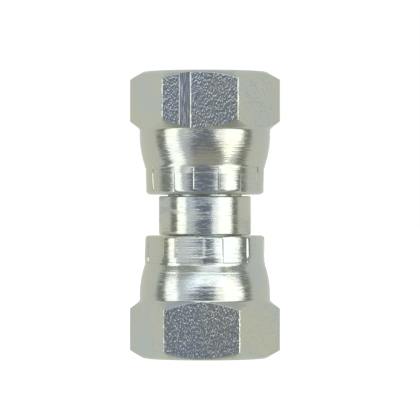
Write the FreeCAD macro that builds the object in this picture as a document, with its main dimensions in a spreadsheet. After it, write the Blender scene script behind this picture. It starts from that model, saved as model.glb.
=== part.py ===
# Straight hydraulic connector with a crimped swivel nut on each end, for G 1/4 male threads
# with a 60 degree cone. Millimetres. The axis is Z, and the origin is the centre of the lower
# nut's end face, which the connector stands on. The side that faces the viewer is -Y.
import FreeCAD, Part

import math
import os

import Sketcher

# Driving dimensions. A size that a piece takes from its neighbour is kept as a wall, a step or
# a clearance.
SIZES = {
    # G 1/4 thread, plain at its minor diameter. The ratio is a 55 degree thread's depth to pitch.
    "thread_major_diameter": 13.157,
    "thread_pitch": 1.337,
    "thread_depth_ratio": 0.640327,
    "mouth_margin": 0.15,
    "relief_clearance": 0.1415,
    "nose_setback": 0.2,
    # Nut, with a wall round the relief that leaves a hexagon of 19 mm
    "skirt_wall": 2.74,
    "skirt_allowance": 0.04,
    "hex_corner_radius": 0.35,
    "hex_depth": 8.3,
    "nut_length": 17.8,
    "face_circle_inset": 0.55,
    "face_chamfer_angle": 30.0,
    "back_chamfer_angle": 38.0,
    # Turned skirt and the neck that the crimping draws in
    "skirt_straight": 0.9,
    "neck_arc_radius": 13.4,
    # Crimped collar, pressed by a ring of dies
    "crimp_squeeze": 0.74,
    "collar_edge_radius": 0.5,
    "die_count": 8,
    "die_mark_depth": 0.23,
    "die_mark_start": 0.06,
    "die_ledge_leg": 0.2,
    # Collar bore, which holds the flange from behind
    "collar_bore_length": 3.2,
    "stem_clearance": 0.3,
    "collar_bore_chamfer": 0.3,
    # Middle collar of the body
    "mid_collar_diameter": 13.32,
    "mid_collar_length": 5.6,
    "mid_collar_chamfer": 0.15,
    # Flange at the end of each stem, and the nose past it
    "flange_clearance": 0.27,
    "flange_height": 1.1,
    "flange_length": 1.3,
    "seat_step": 1.0,
    "cone_half_angle": 30.0,
    "flow_bore_diameter": 5.5,
    "nose_wall": 0.85,
    "bore_edge_chamfer": 0.25,
    # Play of the nuts along the body, and where they hang in it
    "nut_float": 0.5,
    "lower_gap": 0.1,
    "upper_gap": 0.25,
    # Shallow groove along one flat of the upper nut
    "mark_groove_width": 1.6,
    "mark_groove_depth": 0.15,
    "mark_groove_offset": 2.16,
    # How far the flats and the die marks of each nut are turned about Z
    "lower_hex_turn": -2.7,
    "upper_hex_turn": -4.1,
    "lower_crimp_turn": 34.0,
    "upper_crimp_turn": -6.5,
    # How far a cutting outline runs past the metal
    "overcut": 1.0,
}

# Sizes that follow from the driving ones
DERIVED = {
    "thread_radius": "thread_major_diameter / 2 - thread_depth_ratio * thread_pitch",
    "mouth_radius": "thread_major_diameter / 2 + mouth_margin",
    "relief_radius": "thread_major_diameter / 2 + relief_clearance",
    "skirt_radius": "relief_radius + skirt_wall",
    "hex_inradius": "skirt_radius + skirt_allowance",
    "hex_circumradius": "hex_inradius * 2 / sqrt(3)",
    "cut_radius": "hex_circumradius + overcut",
    "face_circle_radius": "hex_inradius - face_circle_inset",
    "collar_radius": "skirt_radius - crimp_squeeze",
    "collar_edge_sagitta": "collar_edge_radius * (1 - sqrt(0.5))",
    "neck_start": "hex_depth + skirt_straight",
    "neck_length": "sqrt(2 * neck_arc_radius * crimp_squeeze - crimp_squeeze ^ 2)",
    "die_flat_radius": "collar_radius - die_mark_depth",
    "die_mark_width": "2 * sqrt(collar_radius ^ 2 - die_flat_radius ^ 2) + overcut",
    "die_ledge": "neck_start + neck_length + die_mark_start",
    "flange_radius": "relief_radius - flange_clearance",
    "stem_radius": "flange_radius - flange_height",
    "collar_bore_radius": "stem_radius + stem_clearance",
    "shoulder_end": "nut_length - collar_bore_length",
    "shoulder_start": "shoulder_end - (relief_radius - collar_bore_radius)",
    "stem_end": "mid_collar_length / 2 + collar_bore_length - stem_clearance + nut_float",
    "flange_start": "stem_end + flange_height",
    "flange_end": "flange_start + flange_length",
    "cone_base_radius": "flange_radius - seat_step",
    "cone_tip_radius": "flow_bore_diameter / 2 + nose_wall",
    "nose_end": "flange_end + (cone_base_radius - cone_tip_radius) / tan(cone_half_angle)",
    "thread_depth": "nut_length + mid_collar_length / 2 - nose_end - nose_setback",
    "relief_start": "thread_depth + relief_radius - thread_radius",
    "body_height": "nut_length + lower_gap + mid_collar_length / 2",
    "overall_length": "body_height + mid_collar_length / 2 + upper_gap + nut_length",
}

# Lengths under this count as nothing
TOLERANCE = 1e-6


def size_sheet(doc):
    """The spreadsheet that every sub-part is bound to."""
    sheet = doc.addObject("Spreadsheet::Sheet", "Sizes")
    for row, (name, number) in enumerate(SIZES.items(), start=1):
        sheet.set(f"A{row}", name)
        sheet.set(f"B{row}", str(number))
        sheet.setAlias(f"B{row}", name)
    for row, (name, formula) in enumerate(DERIVED.items(), start=len(SIZES) + 1):
        sheet.set(f"A{row}", name)
        sheet.set(f"B{row}", f"={formula}")
        sheet.setAlias(f"B{row}", name)
    doc.recompute()
    return sheet


def sized(formula):
    """A formula of the sheet's sizes, as another object of the document reads it."""
    words = formula.replace("(", "( ").replace(")", " )").split()
    known = SIZES.keys() | DERIVED.keys()
    return " ".join(f"Sizes.{word}" if word in known else word for word in words)


def origin_feature(body, role):
    return next(item for item in body.Origin.OriginFeatures if item.Role == role)


def arc_between(first, last, radius, turn):
    """The shorter arc from first to last: turn is 1 anticlockwise and -1 clockwise."""
    chord = last - first
    middle = (first + last) * 0.5
    rise = math.sqrt(radius**2 - (chord.Length / 2) ** 2)
    side = FreeCAD.Vector(-chord.y, chord.x, 0).normalize()
    centre = middle + side * rise * turn
    begin, end = (first, last) if turn > 0 else (last, first)
    start_angle = math.atan2(begin.y - centre.y, begin.x - centre.x)
    end_angle = math.atan2(end.y - centre.y, end.x - centre.x)
    if end_angle < start_angle:
        end_angle += 2 * math.pi
    circle = Part.Circle(centre, FreeCAD.Vector(0, 0, 1), radius)
    return Part.ArcOfCircle(circle, start_angle, end_angle)


def outline(body, name, role, corners):
    """A closed sketch on one of the body's origin planes.

    Each corner is two formulas for its place, and where an arc leaves it, also the arc's
    radius formula and its turn.
    """
    sketch = body.newObject("Sketcher::SketchObject", name)
    sketch.AttachmentSupport = [(origin_feature(body, role), "")]
    sketch.MapMode = "FlatFace"
    places = [
        FreeCAD.Vector(
            sketch.evalExpression(sized(corner[0])),
            sketch.evalExpression(sized(corner[1])),
            0,
        )
        for corner in corners
    ]
    ends = []
    for index, corner in enumerate(corners):
        first = places[index]
        last = places[(index + 1) % len(places)]
        if len(corner) == 2:
            sketch.addGeometry(Part.LineSegment(first, last))
            ends.append((1, 2))
        else:
            radius = sketch.evalExpression(sized(corner[2]))
            sketch.addGeometry(arc_between(first, last, radius, corner[3]))
            ends.append((1, 2) if corner[3] > 0 else (2, 1))
    for index in range(len(corners)):
        after = (index + 1) % len(corners)
        sketch.addConstraint(
            Sketcher.Constraint("Coincident", index, ends[index][1], after, ends[after][0])
        )
    for index, corner in enumerate(corners):
        start = ends[index][0]
        for kind, axis, number, formula in (
            ("DistanceX", -2, places[index].x, corner[0]),
            ("DistanceY", -1, places[index].y, corner[1]),
        ):
            if formula == "0":
                sketch.addConstraint(Sketcher.Constraint("PointOnObject", index, start, axis))
            else:
                bind(sketch, Sketcher.Constraint(kind, -1, 1, index, start, number), formula)
        if len(corner) > 2:
            radius = sketch.evalExpression(sized(corner[2]))
            bind(sketch, Sketcher.Constraint("Radius", index, radius), corner[2])
    return sketch


def bind(sketch, constraint, formula):
    number = sketch.addConstraint(constraint)
    sketch.setExpression(f"Constraints[{number}]", sized(formula))


def feature(body, kind, name, sketch):
    """A feature of the body from a sketch. Revolution and Groove turn about the sketch's Y."""
    made = body.newObject(f"PartDesign::{kind}", name)
    made.Profile = sketch
    if kind in ("Revolution", "Groove"):
        made.ReferenceAxis = (sketch, ["V_Axis"])
        made.Angle = 360
    return made


def finish_cut(doc, body, cut):
    """Recomputes and makes sure that the cut has taken material away."""
    before = cut.BaseFeature.Shape.Volume
    doc.recompute()
    if not cut.Shape.Volume < before:
        raise RuntimeError(f"{body.Label}: {cut.Label} cuts nothing")


def rounded(doc, body, name, base, edges, radius):
    made = body.newObject("PartDesign::Fillet", name)
    made.Base = (base, edges)
    made.setExpression("Radius", sized(radius))
    doc.recompute()
    return made


def upright_edges(shape):
    """The names of the edges that run straight up."""
    names = []
    for number, edge in enumerate(shape.Edges, start=1):
        box = edge.BoundBox
        if max(box.XLength, box.YLength) < TOLERANCE < box.ZLength:
            names.append(f"Edge{number}")
    return names


def hexagon_bar(doc, body):
    """The length of hexagon bar, its corners at +X and -X and a flat towards the viewer."""
    corners = [
        ("hex_circumradius", "0"),
        ("hex_circumradius / 2", "hex_inradius"),
        ("-1 * hex_circumradius / 2", "hex_inradius"),
        ("-1 * hex_circumradius", "0"),
        ("-1 * hex_circumradius / 2", "-1 * hex_inradius"),
        ("hex_circumradius / 2", "-1 * hex_inradius"),
    ]
    bar = feature(body, "Pad", "bar", outline(body, "bar_outline", "XY_Plane", corners))
    bar.setExpression("Length", sized("nut_length"))
    doc.recompute()
    return rounded(doc, body, "bar_corners", bar, upright_edges(bar.Shape), "hex_corner_radius")


def mark_groove(doc, body):
    """The shallow groove drawn along one flat of the bar."""
    left = "mark_groove_offset - mark_groove_width / 2"
    right = "mark_groove_offset + mark_groove_width / 2"
    floor = "mark_groove_depth - hex_inradius"
    outside = "-1 * cut_radius"
    corners = [(left, outside), (right, outside), (right, floor), (left, floor)]
    groove = feature(body, "Pocket", "mark", outline(body, "mark_outline", "XY_Plane", corners))
    groove.Reversed = True
    groove.setExpression("Length", sized("hex_depth"))
    finish_cut(doc, body, groove)


def turned_outside(doc, body):
    """The chamfer of the end face, then the back of the hexagon, the skirt and the collar."""
    chamfer = [
        ("face_circle_radius", "0"),
        ("cut_radius", "0"),
        ("cut_radius", "(cut_radius - face_circle_radius) * tan(face_chamfer_angle)"),
    ]
    face = outline(body, "face_chamfer_outline", "XZ_Plane", chamfer)
    finish_cut(doc, body, feature(body, "Groove", "face_chamfer", face))
    behind = [
        ("cut_radius", "hex_depth - (cut_radius - skirt_radius) * tan(back_chamfer_angle)"),
        ("cut_radius", "nut_length + overcut"),
        ("collar_radius - collar_edge_radius", "nut_length + overcut"),
        ("collar_radius - collar_edge_radius", "nut_length"),
        ("collar_radius - collar_edge_sagitta", "nut_length - collar_edge_sagitta"),
        ("collar_radius", "nut_length - collar_edge_radius"),
        ("collar_radius", "neck_start + neck_length", "neck_arc_radius", -1),
        ("skirt_radius", "neck_start"),
        ("skirt_radius", "hex_depth"),
    ]
    back = outline(body, "turned_outline", "XZ_Plane", behind)
    finish_cut(doc, body, feature(body, "Groove", "turned", back))


def bored_inside(doc, body):
    """Mouth, thread, relief, 45 degree shoulder and the collar's bore, cut in one turning."""
    corners = [
        ("0", "-1 * overcut"),
        ("mouth_radius", "-1 * overcut"),
        ("mouth_radius", "0"),
        ("thread_radius", "mouth_radius - thread_radius"),
        ("thread_radius", "thread_depth"),
        ("relief_radius", "relief_start"),
        ("relief_radius", "shoulder_start"),
        ("collar_bore_radius", "shoulder_end"),
        ("collar_bore_radius", "nut_length - collar_bore_chamfer"),
        ("collar_bore_radius + collar_bore_chamfer", "nut_length"),
        ("collar_bore_radius + collar_bore_chamfer", "nut_length + overcut"),
        ("0", "nut_length + overcut"),
    ]
    bore = outline(body, "bore_outline", "XZ_Plane", corners)
    finish_cut(doc, body, feature(body, "Groove", "bore", bore))


def crimped_collar(doc, body, turn):
    """One die's flat with its sloping ledge, repeated round the collar."""
    corners = [
        ("cut_radius", "die_ledge"),
        ("cut_radius", "nut_length + overcut"),
        ("die_flat_radius", "nut_length + overcut"),
        ("die_flat_radius", "die_ledge + die_ledge_leg"),
        ("die_flat_radius + die_ledge_leg", "die_ledge"),
    ]
    side = outline(body, "die_outline", "XZ_Plane", corners)
    side.AttachmentOffset = FreeCAD.Placement(
        FreeCAD.Vector(), FreeCAD.Rotation(FreeCAD.Vector(0, 1, 0), 1)
    )
    side.setExpression("AttachmentOffset.Rotation.Angle", sized(turn))
    mark = feature(body, "Pocket", "die_mark", side)
    mark.Midplane = True
    mark.setExpression("Length", sized("die_mark_width"))
    finish_cut(doc, body, mark)
    ring = body.newObject("PartDesign::PolarPattern", "die_marks")
    ring.Originals = [mark]
    ring.Axis = (origin_feature(body, "Z_Axis"), [""])
    ring.Angle = 360
    ring.setExpression("Occurrences", sized("die_count"))
    body.Tip = ring
    doc.recompute()


def swivel_nut(doc, name, crimp_turn, marked):
    """A nut with its face at Z = 0 and its collar's end at the top."""
    body = doc.addObject("PartDesign::Body", name)
    hexagon_bar(doc, body)
    if marked:
        mark_groove(doc, body)
    turned_outside(doc, body)
    bored_inside(doc, body)
    crimped_collar(doc, body, crimp_turn)
    return body


def connector_body(doc, name):
    """The turned body: one half about its middle plane, then its mirror image."""
    body = doc.addObject("PartDesign::Body", name)
    corners = [
        ("flow_bore_diameter / 2", "0"),
        ("mid_collar_diameter / 2", "0"),
        ("mid_collar_diameter / 2", "mid_collar_length / 2 - mid_collar_chamfer"),
        ("mid_collar_diameter / 2 - mid_collar_chamfer", "mid_collar_length / 2"),
        ("stem_radius", "mid_collar_length / 2"),
        ("stem_radius", "stem_end"),
        ("flange_radius", "flange_start"),
        ("flange_radius", "flange_end"),
        ("cone_base_radius", "flange_end"),
        ("cone_tip_radius", "nose_end"),
        ("flow_bore_diameter / 2 + bore_edge_chamfer", "nose_end"),
        ("flow_bore_diameter / 2", "nose_end - bore_edge_chamfer"),
    ]
    half_outline = outline(body, "half_outline", "XZ_Plane", corners)
    half = feature(body, "Revolution", "half", half_outline)
    doc.recompute()
    whole = body.newObject("PartDesign::Mirrored", "whole")
    whole.Originals = [half]
    whole.MirrorPlane = (origin_feature(body, "XY_Plane"), [""])
    body.Tip = whole
    doc.recompute()
    return body


def place(piece, height, turn, flipped=False):
    """Stands a piece at its height on the axis, turned about Z and upside down if flipped."""
    flip = FreeCAD.Rotation(FreeCAD.Vector(0, 1, 0), 180 if flipped else 0)
    about = FreeCAD.Rotation(FreeCAD.Vector(0, 0, 1), turn)
    piece.Placement = FreeCAD.Placement(FreeCAD.Vector(0, 0, height), about * flip)


def check(doc, pieces):
    for item in doc.Objects:
        if "Invalid" in item.State or "Error" in item.State:
            raise RuntimeError(f"{item.Label} did not recompute: {item.State}")
    for piece in pieces:
        if piece.Shape.isNull() or not piece.Shape.isValid() or len(piece.Shape.Solids) != 1:
            raise RuntimeError(f"{piece.Label} is not one valid solid")


def main():
    doc = FreeCAD.newDocument("straight_connector")
    sheet = size_sheet(doc)
    lower_nut = swivel_nut(doc, "lower_swivel_nut", "lower_crimp_turn", marked=False)
    upper_nut = swivel_nut(doc, "upper_swivel_nut", "upper_crimp_turn", marked=True)
    body = connector_body(doc, "connector_body")
    place(lower_nut, 0, sheet.lower_hex_turn)
    place(body, sheet.body_height, 0)
    place(upper_nut, sheet.overall_length, sheet.upper_hex_turn, flipped=True)
    doc.recompute()
    pieces = (lower_nut, body, upper_nut)
    check(doc, pieces)
    os.makedirs("parts", exist_ok=True)
    for piece in pieces:
        piece.Shape.exportStep(f"parts/{piece.Label}.step")
        print(f"{piece.Label}: {piece.Shape.Volume:.1f} mm3")


main()
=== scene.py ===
"""Looks of a straight hydraulic connector: a turned steel body with a crimped swivel hexagon nut
on each end, zinc plated. Lengths are metres. The viewer of the photograph stands at -Y."""

import math

import bmesh
import bpy
from mathutils import Matrix, Vector


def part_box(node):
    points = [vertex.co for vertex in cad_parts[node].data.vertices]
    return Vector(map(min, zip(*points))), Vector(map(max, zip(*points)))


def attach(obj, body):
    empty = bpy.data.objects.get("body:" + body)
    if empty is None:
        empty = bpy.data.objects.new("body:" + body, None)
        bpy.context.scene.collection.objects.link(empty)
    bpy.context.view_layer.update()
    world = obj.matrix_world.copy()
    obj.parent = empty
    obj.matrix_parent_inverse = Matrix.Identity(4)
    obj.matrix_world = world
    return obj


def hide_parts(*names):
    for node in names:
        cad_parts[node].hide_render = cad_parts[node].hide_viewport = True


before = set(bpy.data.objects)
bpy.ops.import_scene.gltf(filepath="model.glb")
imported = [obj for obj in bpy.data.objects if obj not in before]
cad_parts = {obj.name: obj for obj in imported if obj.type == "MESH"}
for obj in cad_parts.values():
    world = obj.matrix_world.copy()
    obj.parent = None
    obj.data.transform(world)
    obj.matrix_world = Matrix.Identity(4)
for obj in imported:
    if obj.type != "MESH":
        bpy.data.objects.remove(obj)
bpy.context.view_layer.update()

# The swivel nuts
# Each is one piece of free-cutting steel, turned from 19 mm hexagon bar and tapped G 1/4. A ring
# of eight dies crimps its collar over the body's flange, and it still turns there.
MM = 0.001
TURN_STEPS = 240
SHARP_ANGLE = math.radians(24)
SLIVER = 1e-7
TURNED, DRAWN = 0, 1

lower_low, lower_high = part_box("lower_swivel_nut")
upper_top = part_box("upper_swivel_nut")[1].z
nut_length = lower_high.z - lower_low.z
hex_inradius = 9.5 * MM
hex_bar_radius = hex_inradius * 2 / math.sqrt(3)
hex_corner_radius = 0.35 * MM
hex_depth = 8.3 * MM
arc_bevel = 0.07 * MM
face_circle_radius = 8.95 * MM
skirt_radius = 9.46 * MM
neck_arc_radius = 13.4 * MM
neck_start = 9.2 * MM
collar_radius = 8.72 * MM
collar_taper = 0.1 * MM
collar_bore_radius = 5.65 * MM
collar_bore_chamfer = 0.3 * MM
shoulder_top = 14.6 * MM
relief_radius = 6.72 * MM
thread_pitch = 1.337 * MM
thread_major_radius = 13.157 / 2 * MM
thread_minor_radius = 5.7224 * MM
thread_depth = 8.5957 * MM
mouth_radius = 6.7285 * MM


def arc(centre, radius, start, end, steps):
    """Points of a round stretch of an outline, between two angles in degrees."""
    angles = [math.radians(start + (end - start) * step / steps) for step in range(steps + 1)]
    return [(centre[0] + radius * math.cos(a), centre[1] + radius * math.sin(a)) for a in angles]


def lathe(outline):
    """A closed outline of (radius, height) points, turned about Z into a closed shell."""
    mesh = bmesh.new()
    points = [mesh.verts.new((radius, 0, height)) for radius, height in outline]
    edges = [mesh.edges.new(pair) for pair in zip(points, points[1:] + points[:1])]
    bmesh.ops.spin(
        mesh, geom=points + edges, cent=(0, 0, 0), axis=(0, 0, 1), angle=math.tau,
        steps=TURN_STEPS, use_merge=True,
    )
    bmesh.ops.recalc_face_normals(mesh, faces=mesh.faces)
    return mesh


def facing(angle):
    """The level direction at an angle in degrees, from +X towards +Y."""
    return Vector((math.cos(math.radians(angle)), math.sin(math.radians(angle)), 0))


def hexagon_flats(mesh):
    """Six flats of the bar's drawn skin, with the bar's rounded corners between them."""
    for side in range(6):
        across = facing(30 + 60 * side)
        cut = bmesh.ops.bisect_plane(
            mesh, geom=mesh.verts[:] + mesh.edges[:] + mesh.faces[:], dist=SLIVER,
            plane_co=across * hex_inradius, plane_no=across, clear_outer=True,
        )
        rim = [item for item in cut["geom_cut"] if isinstance(item, bmesh.types.BMEdge)]
        bmesh.ops.edgeloop_fill(mesh, edges=rim, mat_nr=DRAWN)
    corners = [
        edge for edge in mesh.edges if all(face.material_index == DRAWN for face in edge.link_faces)
    ]
    bmesh.ops.bevel(
        mesh, geom=corners, offset=hex_corner_radius * math.tan(math.radians(30)), segments=4,
        profile=0.5, affect="EDGES", material=-1,
    )
    arcs = [
        edge for edge in mesh.edges
        if {face.material_index for face in edge.link_faces} == {TURNED, DRAWN}
    ]
    bmesh.ops.bevel(
        mesh, geom=arcs, offset=arc_bevel, segments=2, profile=0.5, affect="EDGES", material=-1
    )


die_ledge = 13.85 * MM
die_ledge_radius = 0.14 * MM
die_depth = 0.085 * MM
die_edge_angle = 1
rib_radius = 5.9 * MM
rib_run = 1 * MM


def below_curve(half_width, radius):
    """How far a curve's ends fall behind its middle."""
    return radius - math.sqrt(radius**2 - half_width**2)


def crimp(mesh, dies):
    """Presses the die marks into the collar, where the metal between them bulges into ribs. Each
    die is given by its bearing and by half the angle that its mark takes, both in degrees, and
    by the radius of its mark's face."""
    margin = 1e-6
    low = die_ledge - margin
    for towards, half_angle, _ in dies:
        inner_angle = half_angle - die_edge_angle
        for border in (-half_angle, -inner_angle, inner_angle, half_angle):
            outward = facing(towards + border)
            faces = [
                face for face in mesh.faces
                if all(v.co.z > low and v.co.xy.length > relief_radius for v in face.verts)
                and face.calc_center_median().normalized().dot(outward) > 0
            ]
            edges = {edge for face in faces for edge in face.edges}
            verts = {vert for face in faces for vert in face.verts}
            bmesh.ops.bisect_plane(
                mesh, geom=[*verts, *edges, *faces], dist=SLIVER / 10, plane_co=(0, 0, 0),
                plane_no=outward.cross(Vector((0, 0, 1))),
            )

    def stretch(towards, half_angle):
        """The collar's points within half an angle of a bearing, and how far to each side."""
        across = facing(towards)
        along = across.cross(Vector((0, 0, 1)))
        half_width = collar_radius * math.sin(math.radians(half_angle))
        points = [
            (vert, vert.co.dot(along)) for vert in mesh.verts
            if vert.co.z > low and vert.co.dot(across) > relief_radius
            and abs(vert.co.dot(along)) < half_width - margin
        ]
        return across, half_width, points

    for (towards, half_angle, face_radius), (following, next_half, _) in zip(
        dies, dies[1:] + dies[:1]
    ):
        across, half_width, points = stretch(towards, half_angle)
        reach = (
            collar_radius - die_depth - below_curve(half_width, collar_radius)
            + below_curve(half_width, face_radius)
        )
        for vert, sideways in points:
            rise = max(0.0, 1 - (vert.co.z - die_ledge) / die_ledge_radius)
            rounding = die_ledge_radius * (1 - math.sqrt(1 - min(rise, 1.0)**2))
            taper = collar_taper * (vert.co.z - die_ledge) / (nut_length - die_ledge)
            face = reach - below_curve(sideways, face_radius) + rounding - taper
            vert.co -= across * max(0.0, vert.co.dot(across) - face)
        rib_start = towards + half_angle
        rib_angle = (following - next_half - rib_start) % 360
        across, half_width, points = stretch(rib_start + rib_angle / 2, rib_angle / 2)
        for vert, sideways in points:
            rise = min(1.0, max(0.0, (vert.co.z - die_ledge) / rib_run))
            bulge = (
                below_curve(half_width, rib_radius) - below_curve(sideways, rib_radius)
                - below_curve(half_width, collar_radius) + below_curve(sideways, collar_radius)
            )
            vert.co += across * bulge * rise**2 * (3 - 2 * rise)


def nut_outline(collar_edge):
    """The nut as it leaves the lathe, its face at Z = 0, from the mouth out and round."""
    face_rise = (hex_bar_radius - face_circle_radius) * math.tan(math.radians(30))
    edge_in, edge_out, edge_rise = 0.12 * MM, 0.1 * MM, 0.06 * MM
    back_slope = math.tan(math.radians(38))
    back_fall = (hex_bar_radius - skirt_radius) * back_slope
    back_leg = 0.22 * MM
    squeeze = skirt_radius - collar_radius
    neck_turn = math.degrees(math.acos(1 - squeeze / neck_arc_radius))
    ledge_steps = 4
    # The face's edge and the foot of the slope behind the hexagon are rounded.
    outside = [
        (face_circle_radius - edge_in, 0),
        (face_circle_radius + edge_out, edge_rise),
        (hex_bar_radius, face_rise),
        (hex_bar_radius, hex_depth - back_fall),
        (skirt_radius + back_leg * 2.2, hex_depth - back_leg * 2.2 * back_slope),
        (skirt_radius + back_leg, hex_depth - back_leg * back_slope * 0.86),
        (skirt_radius + back_leg * 0.28, hex_depth + back_leg * 0.1),
        (skirt_radius, hex_depth + back_leg * 0.9),
        (skirt_radius, hex_depth + back_leg * 1.2),
    ]
    neck = arc((skirt_radius - neck_arc_radius, neck_start), neck_arc_radius, 0, neck_turn, 14)
    ledge = [
        (collar_radius, die_ledge + die_ledge_radius * step / ledge_steps)
        for step in range(ledge_steps + 1)
    ] + [
        (collar_radius, die_ledge + rib_run * step / ledge_steps)
        for step in range(1, ledge_steps + 1)
    ]
    edge_centre = (collar_radius - collar_taper - collar_edge, nut_length - collar_edge)
    bore = [
        (collar_bore_radius + collar_bore_chamfer, nut_length),
        (collar_bore_radius, nut_length - collar_bore_chamfer),
        (collar_bore_radius, shoulder_top),
        (relief_radius, shoulder_top - (relief_radius - collar_bore_radius)),
        (relief_radius, thread_depth + relief_radius - thread_minor_radius),
        (thread_minor_radius, thread_depth),
        (thread_minor_radius, mouth_radius - thread_minor_radius),
        (mouth_radius, 0),
    ]
    return outside + neck + ledge + arc(edge_centre, collar_edge, 0, 90, 6) + bore


def thread_tap():
    """What a G 1/4 tap takes out: a 55 degree groove with a rounded root, wound about Z."""
    half_flank = math.tan(math.radians(27.5))
    depth = thread_major_radius - thread_minor_radius
    inside = 0.1 * MM
    rounding = 0.08 * MM
    lead_in = 1.5 * thread_pitch
    turns, steps = 9, 72
    half_width = thread_pitch / 4 + (depth / 2 + inside) * half_flank
    root = thread_pitch / 4 - depth / 2 * half_flank
    root_flat = root * 0.4
    tap = bmesh.new()
    profile = [
        tap.verts.new((radius, 0, height))
        for radius, height in (
            (thread_minor_radius - inside, -half_width),
            (thread_major_radius - rounding, -root - rounding * half_flank),
            (thread_major_radius, -root_flat),
            (thread_major_radius, root_flat),
            (thread_major_radius - rounding, root + rounding * half_flank),
            (thread_minor_radius - inside, half_width),
        )
    ]
    edges = [tap.edges.new(pair) for pair in zip(profile, profile[1:] + profile[:1])]
    bmesh.ops.translate(tap, verts=profile, vec=(0, 0, -lead_in))
    bmesh.ops.spin(
        tap, geom=profile + edges, cent=(0, 0, 0), axis=(0, 0, 1), angle=math.tau * turns,
        dvec=(0, 0, thread_pitch / steps), steps=turns * steps,
    )
    bmesh.ops.holes_fill(tap, edges=tap.edges, sides=0)
    bmesh.ops.recalc_face_normals(tap, faces=tap.faces)
    return tap


def mark_groover():
    """What the drawing die leaves out of one flat of the upper nut: a shallow groove with a soft
    lip over its steep side, and one sloping side."""
    depth, lip_depth = 0.09 * MM, 0.035 * MM
    lip_top, steep_side = 3.01 * MM, 2.93 * MM
    slope_foot, slope_top = 1.42 * MM, 1.27 * MM
    past_face = 2 * MM
    section = (
        (lip_top, -hex_inradius - depth), (lip_top, -hex_inradius),
        (steep_side, -hex_inradius + lip_depth), (steep_side, -hex_inradius + depth),
        (slope_foot, -hex_inradius + depth), (slope_top, -hex_inradius),
        (slope_top, -hex_inradius - depth),
    )
    groover = bmesh.new()
    end = groover.faces.new([groover.verts.new((x, y, -past_face)) for x, y in section])
    grown = bmesh.ops.extrude_face_region(groover, geom=[end])
    bmesh.ops.translate(
        groover, vec=(0, 0, hex_depth + past_face),
        verts=[item for item in grown["geom"] if isinstance(item, bmesh.types.BMVert)],
    )
    bmesh.ops.recalc_face_normals(groover, faces=groover.faces)
    return groover


def as_object(name, mesh, materials=(), place=Matrix.Identity(4)):
    """A finished bmesh as an object at the origin, with its place in its mesh."""
    bmesh.ops.transform(mesh, matrix=place, verts=mesh.verts)
    data = bpy.data.meshes.new(name)
    mesh.to_mesh(data)
    mesh.free()
    for material in materials:
        data.materials.append(material)
    made = bpy.data.objects.new(name, data)
    bpy.context.collection.objects.link(made)
    return made


def take_away(piece, cutter):
    """Cuts the cutter's shape out of the piece for good, and deletes the cutter. The faces that
    it leaves keep the cutter's materials."""
    cut = piece.modifiers.new("cut", "BOOLEAN")
    cut.operation = "DIFFERENCE"
    cut.solver = "EXACT"
    cut.material_mode = "TRANSFER"
    cut.object = cutter
    graph = bpy.context.evaluated_depsgraph_get()
    finished = bpy.data.meshes.new_from_object(piece.evaluated_get(graph))
    piece.modifiers.clear()
    # The cut leaves slivers far too thin to see, which close up here.
    mesh = bmesh.new()
    mesh.from_mesh(finished)
    bmesh.ops.remove_doubles(mesh, verts=mesh.verts, dist=SLIVER)
    bmesh.ops.dissolve_degenerate(mesh, edges=mesh.edges, dist=SLIVER)
    mesh.to_mesh(finished)
    mesh.free()
    piece.data = finished
    bpy.data.objects.remove(cutter)


def crisp(piece):
    """Crisp edges where the cuts meet, and flat faces that stay flat."""
    piece.data.shade_smooth()
    piece.data.set_sharp_from_angle(angle=SHARP_ANGLE)
    weighted = piece.modifiers.new("flat_faces", "WEIGHTED_NORMAL")
    weighted.keep_sharp = True


def linear(colour):
    """An sRGB colour written as hex, as linear red, green, blue and alpha."""
    parts = [int(colour[i:i + 2], 16) / 255 for i in (1, 3, 5)]
    return [p / 12.92 if p <= 0.04045 else ((p + 0.055) / 1.055) ** 2.4 for p in parts] + [1]


def add(tree, kind, inputs=None, **settings):
    """Adds a node with its settings. An input is a value, or another node's output to link, or
    another node, for the first of its outputs that is in use."""
    made = tree.nodes.new(kind)
    for name, setting in settings.items():
        setattr(made, name, setting)
    for name, value in (inputs or {}).items():
        if isinstance(value, bpy.types.Node):
            value = next(output for output in value.outputs if output.enabled)
        if isinstance(value, bpy.types.NodeSocket):
            tree.links.new(value, made.inputs[name])
        else:
            made.inputs[name].default_value = value
    return made


def stops(ramp, *colours):
    """Sets a colour ramp's stops from (place, linear colour) pairs."""
    while len(ramp.color_ramp.elements) < len(colours):
        ramp.color_ramp.elements.new(1)
    for element, (place, colour) in zip(ramp.color_ramp.elements, colours):
        element.position = place
        element.color = colour


def new_material(name):
    """An empty material, with its node tree."""
    material = bpy.data.materials.new(name)
    material.use_nodes = True
    material.node_tree.nodes.clear()
    return material, material.node_tree


def passivated(tree, place, patch):
    """The zinc's colour, which its clear passivation tints warm and cold in faint patches."""
    tint = add(tree, "ShaderNodeTexNoise", {"Vector": place, "Scale": 1 / patch, "Detail": 2})
    colour = add(tree, "ShaderNodeValToRGB", {"Fac": tint})
    stops(colour, (0.35, linear("#d0d6d8")), (0.65, linear("#d8d8cb")))
    return colour


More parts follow.
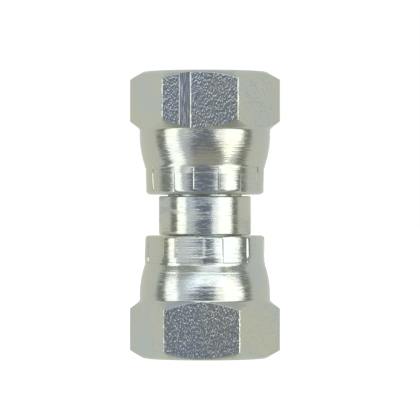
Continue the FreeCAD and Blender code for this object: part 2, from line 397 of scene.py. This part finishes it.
def zinc_turned(name, line_spacing, line_height, line_blur):
    """Bright zinc over turned steel: a mirror broken by level tool lines and short nicks, which
    draw the reflections out level."""
    material, tree = new_material(name)
    place = add(tree, "ShaderNodeTexCoord").outputs["Object"]

    def streaks(length, spacing, detail):
        """Noise drawn out level round the axis, so that it reads as tool lines or nicks."""
        level = add(
            tree, "ShaderNodeMapping",
            {"Vector": place, "Scale": (1 / length, 1 / length, 1 / spacing)},
        )
        return add(
            tree, "ShaderNodeTexNoise",
            {"Vector": level, "Scale": 1, "Detail": detail, "Roughness": 0.6},
        )

    nick_depth = 0.35
    nicks = streaks(length=0.9 * MM, spacing=0.22 * MM, detail=2)
    # In places the lines are worn down to a quarter of their depth.
    worn = add(
        tree, "ShaderNodeMapRange",
        {"Value": streaks(length=9 * MM, spacing=2.2 * MM, detail=1), "From Min": 0.42,
         "From Max": 0.6, "To Min": 0.25},
    )
    lines = add(
        tree, "ShaderNodeMath",
        {0: streaks(length=70 * MM, spacing=line_spacing, detail=3), 1: worn},
        operation="MULTIPLY",
    )
    height = add(
        tree, "ShaderNodeMath", {0: nicks, 1: nick_depth, 2: lines}, operation="MULTIPLY_ADD"
    )
    bump = add(
        tree, "ShaderNodeBump", {"Height": height, "Strength": 1, "Distance": line_height}
    )
    scuffs = add(
        tree, "ShaderNodeMath",
        {0: streaks(length=7 * MM, spacing=0.3 * MM, detail=2), 1: worn},
        operation="MULTIPLY",
    )
    scuffs = add(
        tree, "ShaderNodeMapRange",
        {"Value": scuffs, "From Min": 0.25, "From Max": 0.5, "To Max": line_blur},
    )
    gloss = add(
        tree, "ShaderNodeMapRange",
        {"Value": nicks, "From Min": 0.42, "From Max": 0.72, "To Min": 0.1, "To Max": 0.3},
    )
    surface = add(
        tree, "ShaderNodeBsdfPrincipled",
        {"Base Color": passivated(tree, place, 9 * MM), "Metallic": 1,
         "Roughness": add(tree, "ShaderNodeMath", {0: gloss, 1: scuffs}), "Normal": bump},
    )
    add(tree, "ShaderNodeOutputMaterial", {"Surface": surface})
    return material


grain_width = 0.17 * MM
pitted_place = (7.87 * MM, -5.33 * MM, 37.4 * MM)


def zinc_drawn(name, grain_length, grain_height):
    """Bright zinc over the drawn skin of the bar: a fine pebbled grain that breaks a dark
    reflection into specks and leaves an even one smooth. A long grain reads as die lines. Small
    dull pits are scattered over one flat of the upper nut."""
    material, tree = new_material(name)
    place = add(tree, "ShaderNodeTexCoord").outputs["Object"]
    along_bar = add(
        tree, "ShaderNodeMapping",
        {"Vector": place, "Scale": (1 / grain_width, 1 / grain_width, 1 / grain_length)},
    )
    grain = add(
        tree, "ShaderNodeTexNoise",
        {"Vector": along_bar, "Scale": 1, "Detail": 1, "Roughness": 0.5},
    )
    relief = add(
        tree, "ShaderNodeBump", {"Height": grain, "Strength": 1, "Distance": grain_height}
    )
    away = add(tree, "ShaderNodeVectorMath", {0: place, 1: pitted_place}, operation="DISTANCE")
    patches = add(tree, "ShaderNodeTexNoise", {"Vector": place, "Scale": 1 / (1.8 * MM)})
    cells = add(tree, "ShaderNodeTexVoronoi", {"Vector": place, "Scale": 1 / (0.42 * MM)})
    # A pit lies at a cell's middle, in a patch, near the pitted place.
    pitted = 1
    for value, none, full in (
        (away, 4.4 * MM, 3.4 * MM), (patches, 0.42, 0.52), (cells, 0.3, 0.2)
    ):
        share = add(
            tree, "ShaderNodeMapRange", {"Value": value, "From Min": none, "From Max": full}
        )
        pitted = add(tree, "ShaderNodeMath", {0: pitted, 1: share}, operation="MULTIPLY")
    colour = add(
        tree, "ShaderNodeMix",
        {"Factor": pitted, "A": passivated(tree, place, 8 * MM), "B": linear("#b0b2a6")},
        data_type="RGBA",
    )
    surface = add(
        tree, "ShaderNodeBsdfPrincipled",
        {"Base Color": colour, "Metallic": 1, "Roughness": 0.13, "Normal": relief},
    )
    add(tree, "ShaderNodeOutputMaterial", {"Surface": surface})
    return material


# The real tool lines are about 0.1 mm apart, too fine to show, so they are drawn 0.4 mm apart.
nut_turned = zinc_turned(
    "zinc_plated_turned_steel", line_spacing=0.4 * MM, line_height=0.05 * MM, line_blur=0.03
)
# The lower nut's bar has the rougher skin, so its front flat looks more speckled. In the
# groove the die has drawn the grain out into lines.
lower_drawn = zinc_drawn(
    "zinc_plated_drawn_steel", grain_length=0.4 * MM, grain_height=0.059 * MM
)
upper_drawn = zinc_drawn(
    "zinc_plated_finer_drawn_steel", grain_length=0.4 * MM, grain_height=0.046 * MM
)
nut_groove = zinc_drawn("zinc_plated_die_line", grain_length=2.5 * MM, grain_height=0.054 * MM)


def swivel_nut(name, drawn, dies, collar_edge, place, marked):
    """A whole nut, turned, crimped and tapped, and set in its place."""
    mesh = lathe(nut_outline(collar_edge))
    hexagon_flats(mesh)
    crimp(mesh, dies)
    nut = as_object(name, mesh, (nut_turned, drawn))
    take_away(nut, as_object("tap", thread_tap(), (nut_turned,)))
    if marked:
        take_away(nut, as_object("groover", mark_groover(), (nut_groove,)))
    nut.data.transform(place)
    return nut


# The dies didn't press evenly, so their marks differ a little in place, width and curve. Their
# angles are in degrees and their radii in millimetres, from the viewer's side towards +X.
plain_mark = (13.6, 11)
lower_dies = (
    (-14.7, 13.5, 14), (31.4, 13.9, 10),
    *((bearing, *plain_mark) for bearing in range(77, 330, 45)),
)
upper_dies = (
    (-45.2, 15.2, 12), (1.3, 12.2, 9), (49.6, 12.5, 10.5),
    *((bearing, *plain_mark) for bearing in range(90, 300, 45)),
)
# How far each nut is turned from facing the viewer squarely, in degrees.
lower_turn, upper_turn = -2.7, -4.1
lower_nut = swivel_nut(
    "lower_nut_steel", lower_drawn,
    [
        (bearing - 90 - lower_turn, half_angle, radius * MM)
        for bearing, half_angle, radius in lower_dies
    ],
    collar_edge=0.45 * MM, place=Matrix.Rotation(math.radians(lower_turn), 4, "Z"), marked=False,
)
upper_nut = swivel_nut(
    "upper_nut_steel", upper_drawn,
    [
        (upper_turn - 90 - bearing, half_angle, radius * MM)
        for bearing, half_angle, radius in reversed(upper_dies)
    ],
    collar_edge=0.75 * MM,
    place=Matrix.Translation((0, 0, upper_top))
    @ Matrix.Rotation(math.radians(upper_turn), 4, "Z") @ Matrix.Rotation(math.pi, 4, "Y"),
    marked=True,
)

for nut, node_name, body_name in (
    (lower_nut, "lower_swivel_nut", "lower_nut"),
    (upper_nut, "upper_swivel_nut", "upper_nut"),
):
    crisp(nut)
    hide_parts(node_name)
    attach(nut, body_name)

# The body
# One piece turned from round bar: a middle collar between the nuts, and on each side a stem, the
# flange that the nut holds, and a 60 degree cone that seals. Zinc plated as the nuts are.
body_low, body_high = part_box("connector_body")
body_middle = (body_low.z + body_high.z) / 2
nose_end = (body_high.z - body_low.z) / 2
flow_bore_radius = 2.75 * MM
mid_collar_radius = 6.66 * MM
mid_collar_half = 2.8 * MM
mid_collar_edge = 0.2 * MM
stem_radius = 5.35 * MM
flange_radius = 6.45 * MM
flange_back = 6.2 * MM
flange_front = 8.6 * MM
cone_base_radius = 5.45 * MM
cone_tip_radius = 3.6 * MM
bore_chamfer = 0.25 * MM

upper_half = arc(
    (mid_collar_radius - mid_collar_edge, mid_collar_half - mid_collar_edge),
    mid_collar_edge, 0, 90, 5,
) + [
    (stem_radius, mid_collar_half),
    (stem_radius, flange_back),
    (flange_radius, flange_back + flange_radius - stem_radius),
    (flange_radius, flange_front),
    (cone_base_radius, flange_front),
    (cone_tip_radius, nose_end),
    (flow_bore_radius + bore_chamfer, nose_end),
    (flow_bore_radius, nose_end - bore_chamfer),
]
lower_half = [(radius, -height) for radius, height in reversed(upper_half)]
# The bar's tool lines are scuffed, so they blur the reflections in streaks.
bar_turned = zinc_turned(
    "zinc_plated_turned_bar", line_spacing=0.38 * MM, line_height=0.05 * MM, line_blur=0.4
)
body = as_object(
    "body_steel", lathe(upper_half + lower_half), (bar_turned,),
    Matrix.Translation((0, 0, body_middle)),
)
crisp(body)
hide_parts("connector_body")
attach(body, "body")

# The floor
# A plain white table top, which takes the connector's soft shadow. To the camera it glows a
# little, so that it and the backdrop are white while the lamps stay low.
floor_mesh = bmesh.new()
bmesh.ops.create_grid(floor_mesh, x_segments=1, y_segments=1, size=3)
floor = as_object("floor", floor_mesh)
floor.visible_glossy = False
floor.visible_shadow = False
paper, tree = new_material("white_paper")
rays = add(tree, "ShaderNodeLightPath")
matt = add(tree, "ShaderNodeBsdfDiffuse", {"Color": linear("#e6e6e2")})
glow = add(tree, "ShaderNodeEmission", {"Color": (1, 1, 1, 1), "Strength": 1.3})
share = add(
    tree, "ShaderNodeMath", {0: rays.outputs["Is Camera Ray"], 1: 0.75}, operation="MULTIPLY"
)
mixed = add(tree, "ShaderNodeMixShader", {"Fac": share, 1: matt, 2: glow})
add(tree, "ShaderNodeOutputMaterial", {"Surface": mixed})
floor.data.materials.append(paper)

# The light
# A photographer's light tent: white cloth walls to the left and right of the viewer, lit from
# outside, a pale back and roof, and an open front, where the room behind the viewer is dark.
LAMP_DISTANCE = 0.8
cloth_colour = "#fffef2"


def lit_wall(name, bearing, width, low, high, lean, radiance):
    """A lit cloth at LAMP_DISTANCE, between two elevations. Its bearing is from the viewer's
    direction towards +X, and its top leans towards -X. All its angles are in degrees."""
    middle = math.radians((low + high) / 2)
    data = bpy.data.lights.new(name, "AREA")
    data.shape = "RECTANGLE"
    data.size = 2 * LAMP_DISTANCE * math.tan(math.radians(width / 2))
    data.size_y = 2 * LAMP_DISTANCE * math.tan(math.radians((high - low) / 2))
    data.energy = radiance * math.pi * data.size * data.size_y
    data.color = linear(cloth_colour)[:3]
    lamp = bpy.data.objects.new(name, data)
    bpy.context.collection.objects.link(lamp)
    place = facing(bearing - 90) * math.cos(middle) + Vector((0, 0, math.sin(middle)))
    lamp.location = place * LAMP_DISTANCE + Vector((0, 0, body_middle))
    lamp.rotation_euler = (
        Matrix.Rotation(math.radians(bearing), 3, "Z")
        @ Matrix.Rotation(math.radians(90) - middle, 3, "X")
        @ Matrix.Rotation(math.radians(lean), 3, "Z")
    ).to_euler()
    lamp.visible_camera = False


lit_wall("left_wall", bearing=-59.4, width=25, low=-40, high=24, lean=12, radiance=0.85)
lit_wall("right_wall", bearing=45, width=44, low=-21, high=23, lean=45, radiance=0.95)

world = bpy.data.worlds.new("light_tent")
bpy.context.scene.world = world
world.use_nodes = True
tree = world.node_tree
tree.nodes.clear()
way = add(tree, "ShaderNodeSeparateXYZ", {0: add(tree, "ShaderNodeTexCoord").outputs["Generated"]})
height = way.outputs["Z"]
forward = add(tree, "ShaderNodeMath", {0: way.outputs["Y"], 1: -1}, operation="MULTIPLY")
bearing = add(tree, "ShaderNodeMath", {0: way.outputs["X"], 1: forward}, operation="ARCTAN2")


def by_bearing(bearing, *colours):
    """A ramp of colours by bearing in degrees. The bearing itself is in radians."""
    turn = add(
        tree, "ShaderNodeMapRange", {"Value": bearing, "From Min": -math.pi, "From Max": math.pi}
    )
    ramp = add(tree, "ShaderNodeValToRGB", {"Fac": turn})
    stops(ramp, *[((angle + 180) / 360, (*colour, 1)) for angle, colour in colours])
    return ramp


def by_elevation(height, *colours):
    """A ramp of colours by elevation in degrees. Their alpha says how much they cover."""
    rise = add(tree, "ShaderNodeMapRange", {"Value": height, "From Min": -1, "From Max": 1})
    ramp = add(tree, "ShaderNodeValToRGB", {"Fac": rise})
    stops(ramp, *[((math.sin(math.radians(angle)) + 1) / 2, colour) for angle, colour in colours])
    return ramp


# The folds at the sides come nearer to the front above and below.
tent_back = (0.65, 0.665, 0.61)
tent_edge = (0.25, 0.265, 0.235)
tent_fold = (0.63, 0.665, 0.68)
fold_bulge = 0.4
bulge = add(tree, "ShaderNodeMath", {0: height, 1: height}, operation="MULTIPLY")
bulge = add(tree, "ShaderNodeMath", {0: bulge, 1: fold_bulge, 2: 1}, operation="MULTIPLY_ADD")
sides = by_bearing(
    add(tree, "ShaderNodeMath", {0: bearing, 1: bulge}, operation="MULTIPLY"),
    (-99, tent_back), (-92, tent_edge), (-78, tent_edge), (-71, tent_fold),
    (67, tent_fold), (73, tent_edge), (87, tent_edge), (95, tent_back),
)
# Above the walls the tent's front is in shade.
tent_shade = (0.33, 0.35, 0.3)
shade = by_elevation(height, (20, (*tent_shade, 0)), (30, (*tent_shade, 1)))
in_front = add(
    tree, "ShaderNodeMapRange", {"Value": forward, "From Min": -0.05, "From Max": 0.1}
)
share = add(
    tree, "ShaderNodeMath", {0: shade.outputs["Alpha"], 1: in_front}, operation="MULTIPLY"
)
tent = add(tree, "ShaderNodeMix", {"Factor": share, "A": sides, "B": shade}, data_type="RGBA")
# The opening shows, from below, the table's edge, the dark room, and the roof, which comes lower
# on the left.
roof_left, roof_fall = -0.19, 0.25
past_left = add(tree, "ShaderNodeMath", {0: bearing, 1: roof_left}, operation="SUBTRACT")
past_left = add(tree, "ShaderNodeMath", {0: past_left, 1: 0}, operation="MINIMUM")
lowered = add(
    tree, "ShaderNodeMath", {0: past_left, 1: -roof_fall, 2: height}, operation="MULTIPLY_ADD"
)
opening = by_elevation(
    lowered,
    (-60, (*tent_back, 1)), (-40, (0.42, 0.4, 0.36, 1)), (-26, (0.4, 0.38, 0.345, 1)),
    (-14, (0.18, 0.2, 0.225, 1)), (-5, (0.2, 0.23, 0.29, 1)), (2.5, (0.17, 0.19, 0.25, 1)),
    (5.5, (0.4, 0.45, 0.53, 1)), (9, (0.92, 0.99, 1.04, 1)), (14, (1.4, 1.48, 1.52, 1)),
    (24, (1.4, 1.48, 1.5, 1)), (31, (1, 1.06, 1.08, 1)), (40, (0.7, 0.74, 0.74, 1)),
    (48, (*tent_shade, 1)),
)
# The camera hides a round patch near the opening's middle.
camera_place = (math.radians(-1), math.sin(math.radians(3)), 0)
camera_colour = (0.17, 0.19, 0.245, 1)
spot = add(tree, "ShaderNodeCombineXYZ", {"X": bearing, "Y": height})
apart = add(tree, "ShaderNodeVectorMath", {0: spot, 1: camera_place}, operation="DISTANCE")
hidden = add(
    tree, "ShaderNodeMapRange",
    {"Value": apart, "From Min": math.radians(13), "From Max": math.radians(5), "To Max": 0.95},
)
opening = add(
    tree, "ShaderNodeMix", {"Factor": hidden, "A": opening, "B": camera_colour},
    data_type="RGBA",
)
# The roof is widest at its front edge, and narrows towards its right side as it rises.
roof_right = 0.5
narrowing = by_elevation(
    height,
    *[
        (angle, (width, width, width, 1))
        for angle, width in ((0, 1), (4, 0.86), (17, 1), (37, 1.6))
    ],
)
from_right = add(tree, "ShaderNodeMath", {0: bearing, 1: roof_right}, operation="SUBTRACT")
narrowed = add(
    tree, "ShaderNodeMath", {0: from_right, 1: narrowing, 2: roof_right},
    operation="MULTIPLY_ADD",
)
gap = by_bearing(narrowed, (-37, (0, 0, 0)), (-18, (1, 1, 1)), (30, (1, 1, 1)), (40, (0, 0, 0)))
tent = add(tree, "ShaderNodeMix", {"Factor": gap, "A": tent, "B": opening}, data_type="RGBA")
# The table is dark, and the tent's top is bluer than its sides.
table, top = (0.34, 0.34, 0.28), (0.5, 0.53, 0.56)
ends = by_elevation(
    height, (-64, (*table, 1)), (-48, (*table, 0)), (46, (*top, 0)), (60, (*top, 1))
)
tent = add(
    tree, "ShaderNodeMix", {"Factor": ends.outputs["Alpha"], "A": tent, "B": ends},
    data_type="RGBA",
)
# To the camera the backdrop is white.
rays = add(tree, "ShaderNodeLightPath")
shown = add(
    tree, "ShaderNodeMix", {"Factor": rays.outputs["Is Camera Ray"], "A": tent, "B": (1, 1, 1, 1)},
    data_type="RGBA",
)
sky = add(tree, "ShaderNodeBackground", {"Color": shown, "Strength": 1})
add(tree, "ShaderNodeOutputWorld", {"Surface": sky})
bpy.context.scene.view_settings.view_transform = "Standard"

# The camera
# Half a metre in front of the connector, level, at the height of its middle.
camera = bpy.data.objects.new("camera", bpy.data.cameras.new("camera"))
bpy.context.collection.objects.link(camera)
camera.location = (0.742 * MM, -500 * MM, 21.5 * MM)
camera.rotation_euler = (math.radians(90), 0, 0)
camera.data.sensor_width = 36
camera.data.lens = 294.8
camera.data.clip_start = 0.01
bpy.context.scene.camera = camera

bpy.context.view_layer.update()
